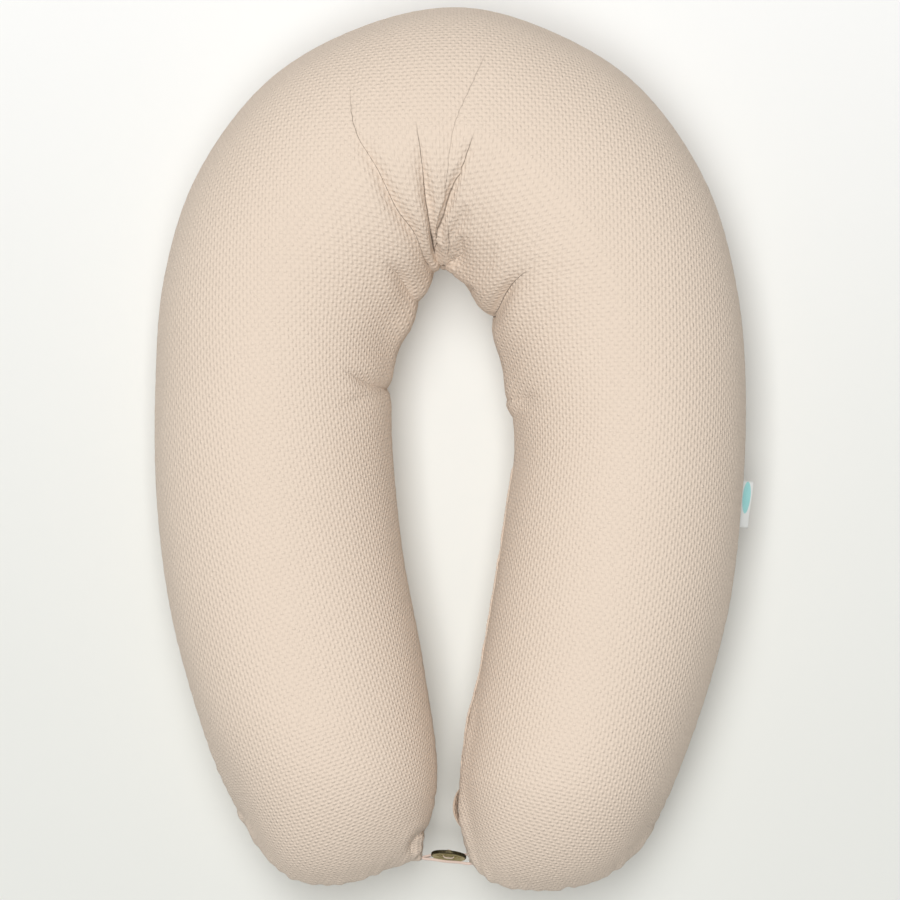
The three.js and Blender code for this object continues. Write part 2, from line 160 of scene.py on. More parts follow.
def skin_rows():
    """Stations along the tube: even steps round each leg's end and even steps along the crest."""
    turn = np.linspace(0, math.pi / 2, END_ROWS)
    left_end = END_TAPER * (1 - np.cos(turn))
    fine = np.linspace(END_TAPER, LAST_STATION - END_TAPER, 2001)
    run = run_of((curve_at(OUTER_SEAM, fine) + inner_seam_at(fine)) / 2)
    steps = int(run[-1] / CELL)
    middle = np.interp(np.linspace(0, run[-1], steps + 1), run, fine)
    return np.concatenate([left_end[:-1], middle, (LAST_STATION - left_end[:-1])[::-1]])


def skin_grid(rows, angles, side):
    """Points of one panel, as rows x columns x 3, in design millimetres."""
    outer, inner = curve_at(OUTER_SEAM, rows)[:, None], inner_seam_at(rows)[:, None]
    share = ((1 - np.cos(angles)) / 2)[None, :, None]
    flat = outer + (inner - outer) * share
    swell_end = np.ones(len(rows))
    seam_z = np.full(len(rows), float(SEAM_HEIGHT))
    for station, end in ((0, LEFT_END_SEAM), (LAST_STATION, RIGHT_END_SEAM)):
        near = np.clip(1 - np.abs(rows - station) / END_TAPER, 0, 1)
        edge = curve_at(end, share.ravel() * (len(end) - 1))
        corners = np.array([OUTER_SEAM[station], INNER_SEAM[station]], float)
        chord = corners[0] + share[0] * (corners[1] - corners[0])
        flat = flat + (near**2)[:, None, None] * (edge - chord)[None]
        swell_end *= np.sqrt(1 - near**2)
        seam_z -= END_SEAM_DROP * near**2
    swell = swell_end[:, None] * np.sin(angles)[None]
    if side == "top":
        height = seam_z[:, None] + TOP_RISE * swell
    else:
        height = soft_floor(seam_z[:, None] - BOTTOM_DROP * swell)
    return np.dstack([flat, height])


def soft_floor(height, roundness=3.0):
    """Heights above the floor, rounded where the skin comes down onto it."""
    return roundness * np.logaddexp(0, height / roundness)


def outward_of(grid, side):
    """The panel's normals, pointing out of the pillow."""
    normal = unit(np.cross(np.gradient(grid, axis=1), np.gradient(grid, axis=0)))
    return normal if side == "top" else -normal


def girth_of(grid):
    """Length along each row of a panel up to each of its points."""
    steps = np.linalg.norm(np.diff(grid, axis=1), axis=2)
    return np.concatenate([np.zeros((len(grid), 1)), np.cumsum(steps, axis=1)], axis=1)


def refine(grid):
    """Twice as many rows and columns, on smooth curves through the old ones."""
    for axis in (0, 1):
        grid = np.moveaxis(grid, axis, 0)
        before = np.concatenate([2 * grid[:1] - grid[1:2], grid[:-2]])
        after = np.concatenate([grid[2:], 2 * grid[-1:] - grid[-2:-1]])
        middle = (9 * (grid[:-1] + grid[1:]) - before - after) / 16
        finer = np.empty((2 * len(grid) - 1,) + grid.shape[1:])
        finer[0::2], finer[1::2] = grid, middle
        grid = np.moveaxis(finer, 0, axis)
    return grid


# ---- meshes
def new_object(name, data):
    holder = bpy.data.objects.new(name, data)
    bpy.context.scene.collection.objects.link(holder)
    return holder


def new_piece(name, vertices, faces):
    mesh = bpy.data.meshes.new(name)
    mesh.from_pydata(np.reshape(vertices, (-1, 3)).tolist(), [], [tuple(f) for f in faces])
    mesh.validate()
    mesh.update()
    mesh.polygons.foreach_set("use_smooth", [True] * len(mesh.polygons))
    return new_object(name, mesh)


def shaped_mesh(piece):
    """The piece's mesh with its modifiers applied."""
    bpy.context.view_layer.update()
    return bpy.data.meshes.new_from_object(piece.evaluated_get(bpy.context.evaluated_depsgraph_get()))


def grid_faces(rows, columns, flip=False):
    index = np.arange(rows * columns).reshape(rows, columns)
    quads = np.stack([index[:-1, :-1], index[1:, :-1], index[1:, 1:], index[:-1, 1:]], axis=-1)
    return quads.reshape(-1, 4)[:, ::-1] if flip else quads.reshape(-1, 4)


def set_uv(piece, uv, name="weave"):
    layer = piece.data.uv_layers.new(name=name)
    corner_vertices = np.empty(len(piece.data.loops), int)
    piece.data.loops.foreach_get("vertex_index", corner_vertices)
    layer.data.foreach_set("uv", uv.reshape(-1, 2)[corner_vertices].astype(np.float32).ravel())


def sweep(path, section, up, scale=1.0):
    """Points and faces of a closed section of (side, up) pairs carried along a path, its ends shut."""
    path, section = np.asarray(path, float), np.asarray(section, float)
    tangent = unit(np.gradient(path, axis=0))
    side = unit(np.cross(tangent, np.broadcast_to(up, path.shape)))
    upright = np.cross(side, tangent)
    size = np.broadcast_to(scale, len(path)).reshape(-1, 1, 1)
    ring = section[None, :, :1] * side[:, None] + section[None, :, 1:] * upright[:, None]
    index = np.arange(len(path) * len(section)).reshape(len(path), len(section))
    turned = np.roll(index, -1, axis=1)
    quads = np.stack([index[:-1], index[1:], turned[1:], turned[:-1]], axis=-1).reshape(-1, 4)
    faces = [tuple(q) for q in quads] + [tuple(index[0]), tuple(index[-1][::-1])]
    return (path[:, None] + size * ring).reshape(-1, 3), faces


def sweep_uv(path, section):
    """Metres round the section and along the path for each point of a sweep in millimetres."""
    around = np.broadcast_arrays(run_of(section)[None, :], run_of(path)[:, None])
    return np.stack(around, axis=-1) * MM


def ellipse(half_width, half_height, sides):
    turn = np.linspace(0, 2 * math.pi, sides, endpoint=False)
    return np.stack([half_width * np.cos(turn), half_height * np.sin(turn)], axis=1)


def joined(parts):
    """Several (points, faces) pairs as one."""
    points, faces, start = [], [], 0
    for part_points, part_faces in parts:
        points.append(part_points)
        faces += [tuple(int(number) + start for number in face) for face in part_faces]
        start += len(part_points)
    return np.concatenate(points), faces


def stitch_row(path, up, length=2.6, gap=1.1, radius=0.32):
    """A row of sewn stitches along a path, each a short bead with thin ends."""
    run = run_of(path)
    parts = []
    for start in np.arange(gap, run[-1] - length, length + gap):
        where = start + np.array([0, 0.15, 0.5, 0.85, 1]) * length
        line = np.stack([np.interp(where, run, path[:, axis]) for axis in range(3)], axis=1)
        parts.append(sweep(line, ellipse(radius, radius * 0.8, 6), up, [0.25, 0.85, 1, 0.85, 0.25]))
    return joined(parts)


# ---- where the cloth's grain runs
GRAIN_TURN = [(0, 22), (3, 12), (5, 0), (13, 0), (15, -8), (18, -13)]  # degrees at stations
INNER_SHRINK = 0.72  # the inner half of the crown is gathered, so its pattern is drawn in


def pattern_uv(grid, rows, angles):
    """Flat pattern coordinates in metres: the tube's skin rolled out, the legs' grain turned upright."""
    crest = int(np.argmin(np.abs(angles - math.pi / 2)))
    girth = girth_of(grid)
    girth -= girth[:, crest:crest + 1]
    gathered = (1 - INNER_SHRINK) * near_crown(rows, 5, 3)[:, None]
    girth = np.where(girth > 0, girth * (1 - gathered), girth)

    turn = np.exp(-1j * np.radians(table_at(GRAIN_TURN, rows)))

    def upright(vectors):
        turned = (vectors[:, 0] + 1j * vectors[:, 1]) * turn
        return np.stack([turned.real, turned.imag], axis=1)

    middle = grid[:, crest]
    walked = np.gradient(middle, axis=0)
    step = upright(unit(walked[:, :2]) * np.linalg.norm(walked, axis=1, keepdims=True))
    start = int(np.argmin(np.abs(rows - CROWN_STATION)))
    path = np.cumsum(step, axis=0)
    path += middle[start, :2] - path[start]
    across = upright(unit(inner_seam_at(rows) - curve_at(OUTER_SEAM, rows)))
    return (path[:, None] + girth[:, :, None] * across[:, None]) * MM


# ---- creases and puckers
# Each crease is a route in design millimetres from its faint end to its deep end, then its depth,
# its width, how much cloth each side loses into it, and how dark the painted shade on the shut fold's
# line is.
# Routes are as the camera above sees them, at the height of the side seam. The camera stands
# CAMERA_DISTANCE metres above that height, and its picture is PICTURE_WIDTH metres wide there.
PICTURE_WIDTH = 0.81
CAMERA_DISTANCE = 4.0
CREASES = [
    ([(-91, 333), (-86, 290), (-64, 250), (-49, 219), (-29, 189), (-17, 160)], 5.0, 6.5, 1.7, 0.75),
    ([(-31, 300), (-29, 285), (-22, 234), (-15, 198), (-11, 172)], 6.0, 5.0, 1.8, 1.0),
    ([(36, 365), (22, 335), (3, 290), (-3, 243), (-4, 228)], 2.0, 9.0, 0.8, 0.4),
    ([(24, 292), (17, 272), (10, 252), (4, 240), (-2, 221), (-6, 209), (-10, 184), (-11, 174)],
     3.6, 4.0, 0.8, 0.8),
    ([(-1, 203), (0, 186), (-1, 171)], 1.5, 4.0, 0.0, 0.5),
    ([(72, 163), (60, 154), (47, 138), (36, 116)], 6.5, 6.5, 2.4, 0.9),
    ([(-99, 74), (-80, 64), (-53, 54)], 4.5, 6.0, 1.8, 0.0),
    ([(-103, 40), (-80, 47), (-58, 50)], 2.2, 8.0, 0.8, 0.0),
    ([(-60, 172), (-44, 155), (-35, 136)], 4.0, 6.0, 1.4, 0.0),
    ([(21, -257), (20.4, -241), (19.4, -231), (21, -223)], 1.6, 3.5, 0.8, 0.0),
    ([(82, 50), (54, 45)], 2.4, 8.0, 0.8, 0.0),
    ([(-38, -369), (-35, -358), (-30, -349), (-24, -344)], 2.6, 3.0, 0.9, 0.0),
    ([(-89, 378), (-88, 315)], 1.0, 9.0, 0.0, 0.0),
    ([(-65, 379), (-64, 314)], 1.0, 8.0, 0.0, 0.0),
    ([(-46, 382), (-45, 318)], 1.0, 8.0, 0.0, 0.0),
]
SHADE_LINED_CREASES = 6  # the first creases, which get a painted shade line along their shut fold
GATHER_REACH = 9  # how far from a shut fold its cloth is pulled in
FOLD_SHADE_HALF_WIDTH = 0.5  # half the width of the painted shade line along a shut fold, in millimetres


def seen_from_above(grid):
    closer = (grid[..., 2:] - SEAM_HEIGHT) * MM / CAMERA_DISTANCE
    return grid[..., :2] / (1 - closer)


def crease_place(route, flat):
    """For flat points: signed distance from a crease, way across it, share of its length, closeness."""
    line = curve_at(route, np.linspace(0, len(route) - 1, 8 * len(route)))
    walked = run_of(line)
    best = np.full(flat.shape[:-1], 1e9)
    signed, along, across = np.zeros(best.shape), np.zeros(best.shape), np.zeros(flat.shape)
    for start, heading, before, after in zip(line, unit(np.diff(line, axis=0)), walked, walked[1:]):
        offset = flat - start
        run = np.clip(offset @ heading, 0, after - before)
        distance = np.linalg.norm(offset - run[..., None] * heading, axis=-1)
        closer = distance < best
        sideways = np.array([-heading[1], heading[0]])
        best[closer] = distance[closer]
        signed[closer] = (offset @ sideways)[closer]
        along[closer] = ((before + run) / walked[-1])[closer]
        across[closer] = sideways
    beyond = near(np.maximum(best - np.abs(signed), 0), 8)
    return signed, across, along, beyond


def near_top(grid, side):
    """1 on the top panel, fading to 0 down the bottom one."""
    return np.exp(-np.maximum(SEAM_HEIGHT - grid[..., 2], 0) / 35) if side == "bottom" else 1.0


def soft_creases(grid, side):
    """The panel with broad valleys where it will fold, to start the cloth off."""
    valley, lips = np.zeros(grid.shape[:2]), np.zeros(grid.shape[:2])
    for route, deep, width, _, _ in CREASES:
        signed, _, along, beyond = crease_place(route, seen_from_above(grid))
        reach = np.abs(signed) / (1.5 * width)
        strength = smooth(along * 1.5) * beyond * deep
        valley = np.maximum(valley, 0.4 * strength * near(reach, 0.6))
        lips = np.maximum(lips, 0.3 * strength * near(reach - 1.6, 1))
    return grid - outward_of(grid, side) * ((valley - lips) * near_top(grid, side))[..., None]


def tuck_creases(grid, side):
    """The panel with its creases drawn shut: the cloth beside each is pulled in and down into it."""
    depth, pull = np.zeros(grid.shape[:2]), np.zeros(grid.shape[:2] + (2,))
    for route, deep, width, tuck, _ in CREASES:
        signed, across, along, beyond = crease_place(route, seen_from_above(grid))
        strength = smooth(along * 1.6) * beyond * near_top(grid, side)
        distance, taken = np.abs(signed), tuck * np.sqrt(strength)
        outside = np.maximum(distance - taken, 0)
        drawn = distance - 0.94 * taken * np.exp(-outside / GATHER_REACH)
        pulled = np.where(distance < taken, 0.06 * distance, drawn)
        pull += across * ((pulled - distance) * np.sign(signed))[..., None]
        depth = np.maximum(depth, strength * deep * np.exp(-pulled / width))
    grid = grid - outward_of(grid, side) * depth[..., None]
    grid[..., :2] += pull
    return grid


def mark_fold_shade(piece, grid, side):
    """Each point's signed distance from the shut folds and the strength of their painted shade there."""
    across, strength = [], []
    for route, _, _, _, line in CREASES[:SHADE_LINED_CREASES]:
        signed, _, along, beyond = crease_place(route, seen_from_above(grid))
        across.append(signed.ravel())
        strength.append((line * smooth(along * 5) * beyond**4 * near_top(grid, side)).ravel())
    for name, values in (("fold_across", across), ("fold_strength", strength)):
        for number in range(SHADE_LINED_CREASES // 3):
            mark = piece.data.attributes.new(f"{name}_{number}", "FLOAT_VECTOR", "POINT")
            three = np.stack(values[3 * number:3 * number + 3], axis=1)
            mark.data.foreach_set("vector", three.astype(np.float32).ravel())


def wavy(run, length, seed):
    """An uneven wave along a seam: three lengths near the given one, with fixed phases."""
    phases = np.random.default_rng(seed).uniform(0, 2 * math.pi, 3)
    parts = [np.sin(2 * math.pi * run / (length * f) + p) for f, p in zip((1, 1.37, 0.73), phases)]
    return sum(parts) / len(parts)


SEAM_SINK, SEAM_REACH = 2.2, 4.5  # how deep the cloth dips along a seam, and how far from it
FULL_AT, FULL_REACH = 14, 11  # where the stuffed cloth stands out most beside a seam
FULLNESS, END_FULLNESS = 1.1, 1.8
PUCKER, PUCKER_LENGTH = 0.4, 15  # the small waves across a seam
END_PUCKER, END_PUCKER_LENGTH = 1.1, 16  # how much more they are at the leg ends
CORNER_REACH = 15  # nearer than this to an end's corner, the seams are hardly drawn in
END_GIRTH = 200  # round half of a leg's end seam, in millimetres
# Extra fullness over the zip and below it, at runs along the zip's line.
ZIP_FULLNESS = [(40, 0), (75, -1.2), (190, -1.2), (206, 0), (222, 2.2), (236, 3.8), (256, 2.4),
                (270, 2.2), (284, 1.2), (300, 2.6), (320, 5.2), (338, 4.2), (358, 0)]
# Extra fullness of the cloth gathered along the inner seam round the crown, at stations.
CROWN_FULLNESS = [(4, 0), (4.5, 2), (4.85, 5.5), (5.25, 10), (5.8, 7), (6.5, 3.5), (7.5, 3), (8.7, 6),
                  (9.8, 6), (10.4, 4), (11, 0), (12.65, 1.5), (12.9, 5), (13.1, 6.5), (13.3, 0)]
# The same along the outer seam, near the leg ends and down the right leg.
OUTER_FULLNESS = [(0, 3), (0.5, 4), (1.2, 1), (1.6, 0), (14.6, 0), (15.4, 3), (16.3, 2.5), (17.2, 2),
                  (18, 1)]
CORNER_FULLNESS = 3.2  # where the left leg's end is drawn out to its band


def zip_run_at(y):
    return (ZIP_OPEN_END[1] - y) * ZIP_LENGTH / (ZIP_OPEN_END[1] - ZIP_CLOSED_END[1])


def dip(reach, fullness):
    """How far in the cloth lies beside a seam: sunk at its stitches, then standing out."""
    return SEAM_SINK * near(reach, SEAM_REACH) - fullness * near(reach - FULL_AT, FULL_REACH)


def seam_draw(grid, side, rows):
    """The panel with its sewn edges drawn in: a narrow valley along them with puckers across it."""
    girth = girth_of(grid)
    down = girth_of(grid.swapaxes(0, 1)).T
    ends = np.minimum(down, down[-1:] - down)
    at_end = np.exp(-np.minimum(rows, LAST_STATION - rows) / 0.9)[:, None]
    on_right_leg = smooth((rows - 13) / 0.5)
    over_zip = table_at(ZIP_FULLNESS, zip_run_at(grid[:, -1, 1])) * on_right_leg
    draw, full, corner = (np.zeros(grid.shape[:2]) for _ in range(3))
    seams = ((0, girth, 0 * rows, OUTER_FULLNESS), (-1, girth[:, -1:] - girth, over_zip, CROWN_FULLNESS))
    for column, reach, more, wide in seams:
        pucker = wavy(run_of(grid[:, column]), PUCKER_LENGTH, 3 + column)[:, None]
        draw += dip(reach, FULLNESS + more[:, None])
        draw += (PUCKER + END_PUCKER * at_end) * pucker * near(reach, 12 + 14 * at_end)
        full += table_at(wide, rows)[:, None] * near(reach - 12, 24)
        corner = np.maximum(corner, near(reach, CORNER_REACH) * near(ends, CORNER_REACH))
    full += CORNER_FULLNESS * near(girth[:, -1:] - girth, 8) * near(down, 8)
    around_end = END_GIRTH * girth / girth[:, -1:]
    for seed, reach in ((11, down), (12, down[-1:] - down)):
        draw += dip(reach, END_FULLNESS)
        draw += 1.4 * wavy(around_end, END_PUCKER_LENGTH, seed) * near(reach, 26)
    return grid - outward_of(grid, side) * (draw * (1 - 0.9 * corner) - full)[..., None]


# ---- the cover as cloth
CLOTH_FRAMES = 20
MOST_MOVE = 12.0  # mm that a point of the cover may settle by
LOWEST = 0.3  # mm that the cover keeps above the floor
CROTCH_SLACK = 0.05  # share of extra cloth gathered round the inside of the crown
END_SHRINK = 0.05  # share that the two end seams are drawn in by
LEG_FREEDOM = 0.4  # how much of the settling the tight legs keep
CLOTH = {
    "quality": 5, "mass": 0.1, "tension_stiffness": 25, "compression_stiffness": 25,
    "shear_stiffness": 8, "bending_stiffness": 2.0, "tension_damping": 10, "compression_damping": 10,
    "air_damping": 2, "use_pressure": True, "uniform_pressure_force": 5, "shrink_min": -CROTCH_SLACK,
    "shrink_max": END_SHRINK, "vertex_group_shrink": "shrink", "vertex_group_mass": "held",
}


def sew_together(top, bottom):
    """One closed mesh from the two panels: its points, quads, and each panel's point numbers."""
    rows, columns = top.shape[:2]
    count = rows * columns
    top_numbers = np.arange(count).reshape(rows, columns)
    bottom_numbers = top_numbers.copy()
    inside = bottom_numbers[1:-1, 1:-1]
    inside[:] = count + np.arange(inside.size).reshape(inside.shape)
    points = np.concatenate([top.reshape(-1, 3), bottom[1:-1, 1:-1].reshape(-1, 3)])
    quads = grid_faces(rows, columns)
    faces = np.concatenate([top_numbers.ravel()[quads][:, ::-1], bottom_numbers.ravel()[quads]])
    return points, faces, top_numbers, bottom_numbers


def vertex_group(piece, name, weights):
    group = piece.vertex_groups.new(name=name)
    for number, weight in enumerate(weights):
        group.add([number], float(weight), "REPLACE")


def cloth_freedom(rows, columns):
    """How much of the settling each place keeps: all at the crown, none at the zip and the corners."""
    rows = rows[:, None]
    from_inner = np.linspace(1, 0, columns)[None, :]
    in_zip = smooth((rows - 13.3) / 0.6) * smooth((17.7 - rows) / 0.5)
    at_ends = near(np.minimum(rows, LAST_STATION - rows), 0.5)
    free = LEG_FREEDOM + (1 - LEG_FREEDOM) * near_crown(rows, 4.6, 1.8)
    free = free * (1 - 0.75 * near(1 - from_inner, 0.12))
    return free * (1 - in_zip * near(from_inner, 0.14)) * (1 - at_ends * near(from_inner, 0.2))


def settle(top, bottom, rows):
    """Both panels after the stuffed, sewn cover has settled as cloth under its own pressure."""
    points, faces, top_numbers, bottom_numbers = sew_together(top, bottom)
    piece = new_piece("cover_settling", place(points), faces)

    gathered = np.linspace(0, 1, top.shape[1]) ** 1.5 * near_crown(rows, 4.4, 3)[:, None]
    slack, drawn = np.zeros(len(points)), np.zeros(len(points))
    for numbers in (top_numbers, bottom_numbers):
        slack[numbers] = gathered * CROTCH_SLACK
        drawn[numbers[[0, -1]]] = 1
    shrink = np.where(drawn > 0, END_SHRINK, -slack)
    vertex_group(piece, "shrink", (shrink + CROTCH_SLACK) / (END_SHRINK + CROTCH_SLACK))
    vertex_group(piece, "held", np.where(points[:, 2] < 4, 1.0, 0.3 * drawn))

    cloth = piece.modifiers.new("cloth", "CLOTH")
    cloth.point_cache.frame_end = CLOTH_FRAMES
    for key, value in CLOTH.items():
        setattr(cloth.settings, key, value)
    cloth.settings.effector_weights.gravity = 0
    cloth.collision_settings.use_collision = False
    for number in range(1, CLOTH_FRAMES + 1):
        bpy.context.scene.frame_set(number)
    settled = piece.evaluated_get(bpy.context.evaluated_depsgraph_get()).data
    found = np.empty(3 * len(points))
    settled.vertices.foreach_get("co", found)
    bpy.context.scene.frame_set(1)
    bpy.data.objects.remove(piece)

    move = (found.reshape(-1, 3) - ORIGIN) / MM - points
    size = np.linalg.norm(move, axis=1, keepdims=True)
    move *= np.minimum(1, MOST_MOVE / np.maximum(size, 1e-6))
    free = cloth_freedom(rows, top.shape[1])[..., None]
    panels = [top + move[top_numbers] * free, bottom + move[bottom_numbers] * free]
    for panel in panels:
        panel[..., 2] = np.maximum(panel[..., 2], LOWEST)
    return panels


# ---- materials
class Shader:
    """A material's node tree, built one node at a time."""

    def __init__(self, name):
        self.material = bpy.data.materials.new(name)
        self.material.use_nodes = True
        self.tree = self.material.node_tree
        self.surface = self.tree.nodes["Principled BSDF"]

    def node(self, kind, inputs, **settings):
        node = self.tree.nodes.new("ShaderNode" + kind)
        for key, value in settings.items():
            setattr(node, key, value)
        self.feed(node, inputs)
        return node

    def feed(self, node, inputs):
        for key, value in inputs.items():
            if isinstance(value, bpy.types.NodeSocket):
                self.tree.links.new(value, node.inputs[key])
            else:
                node.inputs[key].default_value = value

    def math(self, operation, first, second=0.0, third=0.0):
        return self.node("Math", {0: first, 1: second, 2: third}, operation=operation).outputs[0]

    def times(self, first, second, plus=0.0):
        return self.math("MULTIPLY_ADD", first, second, plus)

    def vectors(self, operation, first, inputs):
        return self.node("VectorMath", {0: first, **inputs}, operation=operation).outputs

    def step(self, value, low, high):
        """0 at low, 1 at high, and even between."""
        return self.node("MapRange", {0: value, 1: low, 2: high}).outputs[0]

    def noise(self, vector, scale, detail=3.0, roughness=0.55):
        inputs = {"Vector": vector, "Scale": scale, "Detail": detail, "Roughness": roughness}
        return self.node("TexNoise", inputs).outputs["Fac"]

    def waves(self, coordinate, length):
        """A cosine of one coordinate with the given length, from -1 to 1."""
        return self.math("COSINE", self.math("MULTIPLY", coordinate, 2 * math.pi / length))

    def mix(self, share, first, second):
        return self.node("Mix", {0: share, 6: first, 7: second}, data_type="RGBA").outputs[2]

    def coordinates(self):
        return self.node("TexCoord", {}).outputs["Object"]

    def uv(self, name="weave"):
        return self.node("UVMap", {}, uv_map=name).outputs["UV"]

    def split(self, vector):
        return self.node("SeparateXYZ", {0: vector}).outputs

    def bump(self, height, distance, strength=1.0):
        inputs = {"Height": height, "Distance": distance, "Strength": strength}
        return self.node("Bump", inputs).outputs["Normal"]

    def finish(self, colour, roughness, **inputs):
        self.feed(self.surface, {"Base Color": colour, "Roughness": roughness})
        self.feed(self.surface, {key.replace("_", " "): value for key, value in inputs.items()})
        return self.material


def srgb(red, green, blue):
    """A linear colour with alpha from 0-255 screen values."""
    def linear(c):
        c /= 255
        return c / 12.92 if c <= 0.04045 else ((c + 0.055) / 1.055) ** 2.4
    return (linear(red), linear(green), linear(blue), 1.0)


WAFFLE_CELL = (0.0067, 0.0074)  # the staggered cell's size along and across the wales
# The knit's light and dark colours: the mix between them follows the relief, which paints shade into the
# pits, and a broad noise, which gives the yarn's own uneven tone.
KNIT_LIGHT = srgb(238, 221, 204)
KNIT_DARK = srgb(218, 199, 180)
# the colour of the painted shade in the shut folds
FOLD_SHADE_COLOUR = srgb(92, 72, 55)


def fold_shade(shader):
    """How strongly each place is painted with a shut fold's shade, from the marks left on the cover's
    points.
    """
    painted_fold_shade = 0.0
    for number in range(SHADE_LINED_CREASES // 3):
        marks = (shader.node("Attribute", {}, attribute_name=f"fold_{kind}_{number}")
                 for kind in ("across", "strength"))
        across, strength = (shader.split(mark.outputs["Vector"]) for mark in marks)
        for axis in "XYZ":
            square = shader.math("MULTIPLY", across[axis], across[axis])
            line = shader.math("EXPONENT", shader.math("MULTIPLY", square, -1 / FOLD_SHADE_HALF_WIDTH**2))
            painted_fold_shade = shader.math("MAXIMUM", painted_fold_shade, shader.math("MULTIPLY", line, strength[axis]))
    return painted_fold_shade


def knit_material(name="waffle_knit", light=KNIT_LIGHT, dark=KNIT_DARK):
    """Waffle knit: raised ovals on a staggered lattice with pits between, and fine yarn over it."""
    shader = Shader(name)
    flat = shader.uv()
    wobble = shader.node("TexNoise", {"Vector": flat, "Scale": 110.0, "Detail": 3.0}).outputs["Color"]
    shift = shader.vectors("SUBTRACT", wobble, {1: (0.5, 0.5, 0.5)})[0]
    shift = shader.vectors("SCALE", shift, {"Scale": 0.0026})[0]
    split = shader.split(shader.vectors("ADD", flat, {1: shift})[0])
    cells = tuple(zip("XY", WAFFLE_CELL))
    staggered = shader.math("MULTIPLY", *(shader.waves(split[axis], size) for axis, size in cells))
    relief = shader.times(staggered, 0.22, 0.5)
    for axis, size in cells:
        relief = shader.times(shader.waves(split[axis], size / 2), 0.13, relief)
    yarn = shader.noise(flat, 700.0)
    relief = shader.times(yarn, 0.5, relief)
    # Painted shade: the colour darkens where the relief is low, in the knit's pits; the broad noise is
    # the yarn's own uneven tone.
    shade = shader.times(shader.noise(flat, 9.0, 4.0), 0.2, shader.times(relief, 0.34, 0.22))
    # Painted shade: the knit is darkened along the shut folds, standing in for their contact shadow.
    colour = shader.mix(fold_shade(shader), shader.mix(shade, dark, light), FOLD_SHADE_COLOUR)
    return shader.finish(colour, shader.times(yarn, 0.12, 0.82), Sheen_Weight=0.1, Sheen_Roughness=0.5,
                         Specular_IOR_Level=0.2, Normal=shader.bump(relief, 0.00125))


def woven_material(name, light, dark, thread):
    """Plain weave of threads this far apart, by object coordinates."""
    shader = Shader(name)
    place_on = shader.coordinates()
    split = shader.split(place_on)
    x, y, z = (shader.waves(split[axis], 2 * thread) for axis in "XYZ")
    fibre = shader.noise(place_on, 0.6 / thread)
    relief = shader.times(shader.math("MULTIPLY", shader.math("MULTIPLY", x, y), z), 0.4, fibre)
    colour = shader.mix(shader.times(relief, 0.6, 0.1), dark, light)
    return shader.finish(colour, shader.times(fibre, 0.15, 0.75), Sheen_Weight=0.2,
                         Specular_IOR_Level=0.25, Normal=shader.bump(relief, 0.3 * thread, 0.7))


def fibre_material():
    shader = Shader("fibre")
    fluff = shader.noise(shader.coordinates(), 160.0, 8.0, 0.7)
    colour = shader.mix(fluff, srgb(226, 226, 224), srgb(252, 252, 251))
    return shader.finish(colour, 0.95, Sheen_Weight=0.5, Normal=shader.bump(fluff, 0.002, 0.8))


def plated_material():
    """Antique plating: dark patches that wear through to brighter metal."""
    shader = Shader("zip_metal")
    place_on = shader.coordinates()
    wear = shader.step(shader.noise(place_on, 420.0, 6.0, 0.65), 0.35, 0.65)
    scratches = shader.noise(place_on, 2600.0, 2.0)
    colour = shader.mix(wear, (0.12, 0.10, 0.06, 1), (0.50, 0.42, 0.24, 1))
    return shader.finish(colour, shader.times(scratches, 0.2, 0.28), Metallic=1.0,
                         Normal=shader.bump(scratches, 0.0001, 0.4))


def coil_material():
    shader = Shader("coil")
    streaks = shader.noise(shader.coordinates(), 1500.0, 2.0)
    colour = shader.mix(streaks, srgb(206, 188, 168), srgb(222, 205, 186))
    return shader.finish(colour, shader.times(streaks, 0.15, 0.35), Coat_Weight=0.1,
                         Normal=shader.bump(streaks, 0.0001, 0.4))


def thread_material(name, light, dark):
    """Twisted thread or band: fine slanting ridges with loose fibre."""
    shader = Shader(name)
    place_on = shader.coordinates()
    split = shader.split(place_on)
    slant = shader.math("ADD", split["X"], shader.math("ADD", split["Y"], split["Z"]))
    fibre = shader.noise(place_on, 1800.0)
    relief = shader.times(shader.waves(slant, 0.0009), 0.3, fibre)
    colour = shader.mix(shader.times(relief, 0.7, 0.1), dark, light)
    return shader.finish(colour, 0.85, Sheen_Weight=0.3, Normal=shader.bump(relief, 0.0002, 0.7))


PATCH_MIDDLE = (0.0092, 0.0272)  # of the woven oval on the side label, from its near lower corner
PATCH_HALF = (0.0057, 0.0145)


def label_material():
    """White woven satin with one plain teal oval woven into its outer face."""
    shader = Shader("label")
    flat = shader.uv("label")
    split = shader.split(flat)
    fibre = shader.noise(flat, 1500.0, 2.0)
    reach = 0.0
    for axis, middle, half in zip("XY", PATCH_MIDDLE, PATCH_HALF):
        offset = shader.math("DIVIDE", shader.math("SUBTRACT", split[axis], middle), half)
        reach = shader.times(offset, offset, reach)
    white = shader.mix(fibre, srgb(236, 238, 234), srgb(252, 252, 250))
    teal = shader.mix(fibre, srgb(144, 222, 221), srgb(186, 240, 238))
    relief = shader.times(shader.waves(split["Y"], 0.0004), 0.3, fibre)
    return shader.finish(shader.mix(shader.step(reach, 1.05, 0.92), white, teal),
                         shader.times(fibre, 0.2, 0.4), Sheen_Weight=0.2,
                         Normal=shader.bump(relief, 0.0001, 0.5))


